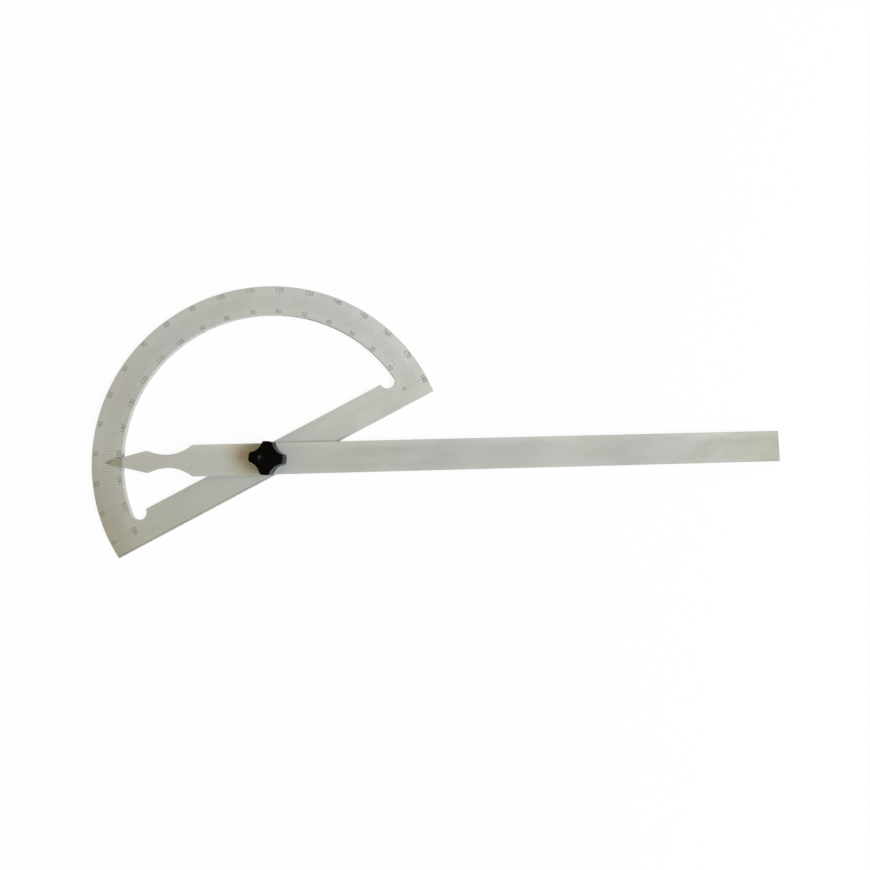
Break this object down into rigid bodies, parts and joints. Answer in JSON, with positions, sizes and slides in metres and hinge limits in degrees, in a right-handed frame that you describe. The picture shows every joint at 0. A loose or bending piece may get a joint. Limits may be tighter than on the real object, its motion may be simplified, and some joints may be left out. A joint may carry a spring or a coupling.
{
  "type": "protractor",
  "caption": "Half-round protractor with a long rail that turns on the centre of the scale, ends in a pointer and is clamped by a star knob.",
  "frame": {"origin": "on the pivot axis, in the plane of the plate's back, which is the face the protractor lies on", "axes": "+X along the straight edge of the scale plate, from the outer 0 to the outer 180, +Y from the pivot to the middle of the scale, +Z out of the face towards the knob"},
  "size_m": [0.3669, 0.2419, 0.0192],
  "materials": {
    "plate_steel": "satin, ground flat, with an engraved scale",
    "bolt_steel": "turned",
    "rail_steel": "satin, ground flat",
    "washer_steel": "stamped, zinc plated",
    "spring_steel": "stamped, zinc plated",
    "knob_plastic": "moulded, gloss",
    "insert_brass": "turned"
  },
  "bodies": {
    "scale": {"scale_plate": "plate_steel", "pivot_bolt": "bolt_steel"},
    "rail": {"rail": "rail_steel", "plain_washer": "washer_steel"},
    "spring_washer": {"spring_washer": "spring_steel"},
    "knob": {"knob": "knob_plastic", "knob_insert": "insert_brass"}
  },
  "joints": [
    {"name": "rail_turn", "type": "hinge", "parent": "scale", "child": "rail", "pos_m": [0, 0, 0.0045], "axis": [0, 0, 1], "continuous": true},
    {"name": "knob_lift", "type": "slide", "parent": "scale", "child": "spring_washer", "axis": [0, 0, 1], "range_m": [0, 0.0008]},
    {"name": "knob_turn", "type": "hinge", "parent": "spring_washer", "child": "knob", "pos_m": [0, 0, 0.012], "axis": [0, 0, 1], "range_deg": [0, 360]}
  ],
  "couplings": [
    {"joint": "knob_lift", "follows": "knob_turn", "m_per_rad": 0.00012731}
  ]
}
